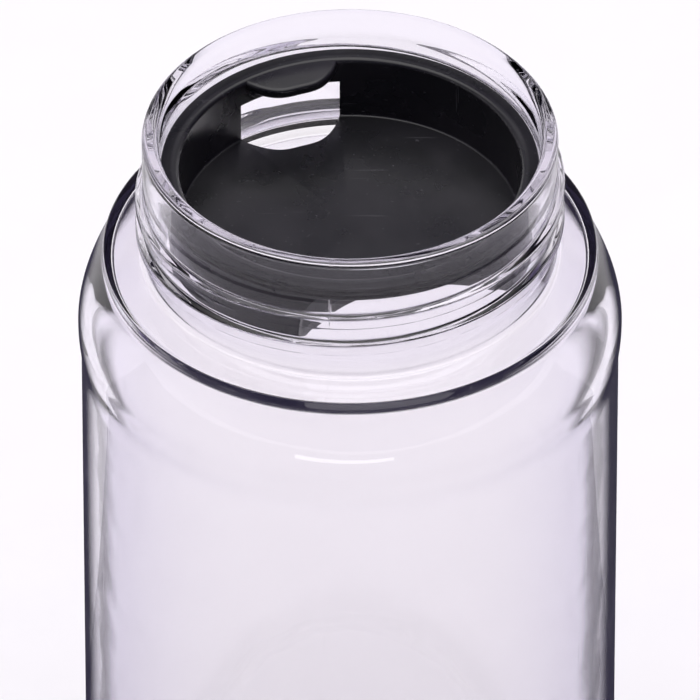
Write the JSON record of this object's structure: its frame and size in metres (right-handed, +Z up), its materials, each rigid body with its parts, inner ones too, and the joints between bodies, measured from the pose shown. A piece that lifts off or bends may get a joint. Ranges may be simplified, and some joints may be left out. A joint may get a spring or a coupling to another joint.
{
  "type": "wide-mouth water bottle",
  "caption": "Clear wide-mouth drinking bottle, open at the top, with an external screw thread on its neck and a removable black splash guard pushed into the mouth.",
  "frame": {"origin": "centre of the foot, on the surface that the bottle stands on", "axes": "+Z up along the bottle's axis towards the mouth, -Y towards the front, the thumb tab is at the rear"},
  "size_m": [0.0902, 0.0902, 0.205],
  "materials": {
    "clear_plastic": "gloss",
    "satin_black": "satin",
    "soft_black": "matt"
  },
  "bodies": {
    "bottle": {"bottle_body": "clear_plastic"},
    "seal": {"guard_seal": "soft_black"},
    "guard": {"guard_cup": "satin_black"}
  },
  "joints": [
    {"name": "guard_lift", "type": "slide", "parent": "bottle", "child": "seal", "axis": [0, 0, 1], "range_m": [0, 0.045]},
    {"name": "guard_turn", "type": "hinge", "parent": "seal", "child": "guard", "pos_m": [0, 0, 0.197], "axis": [0, 0, 1], "continuous": true}
  ]
}
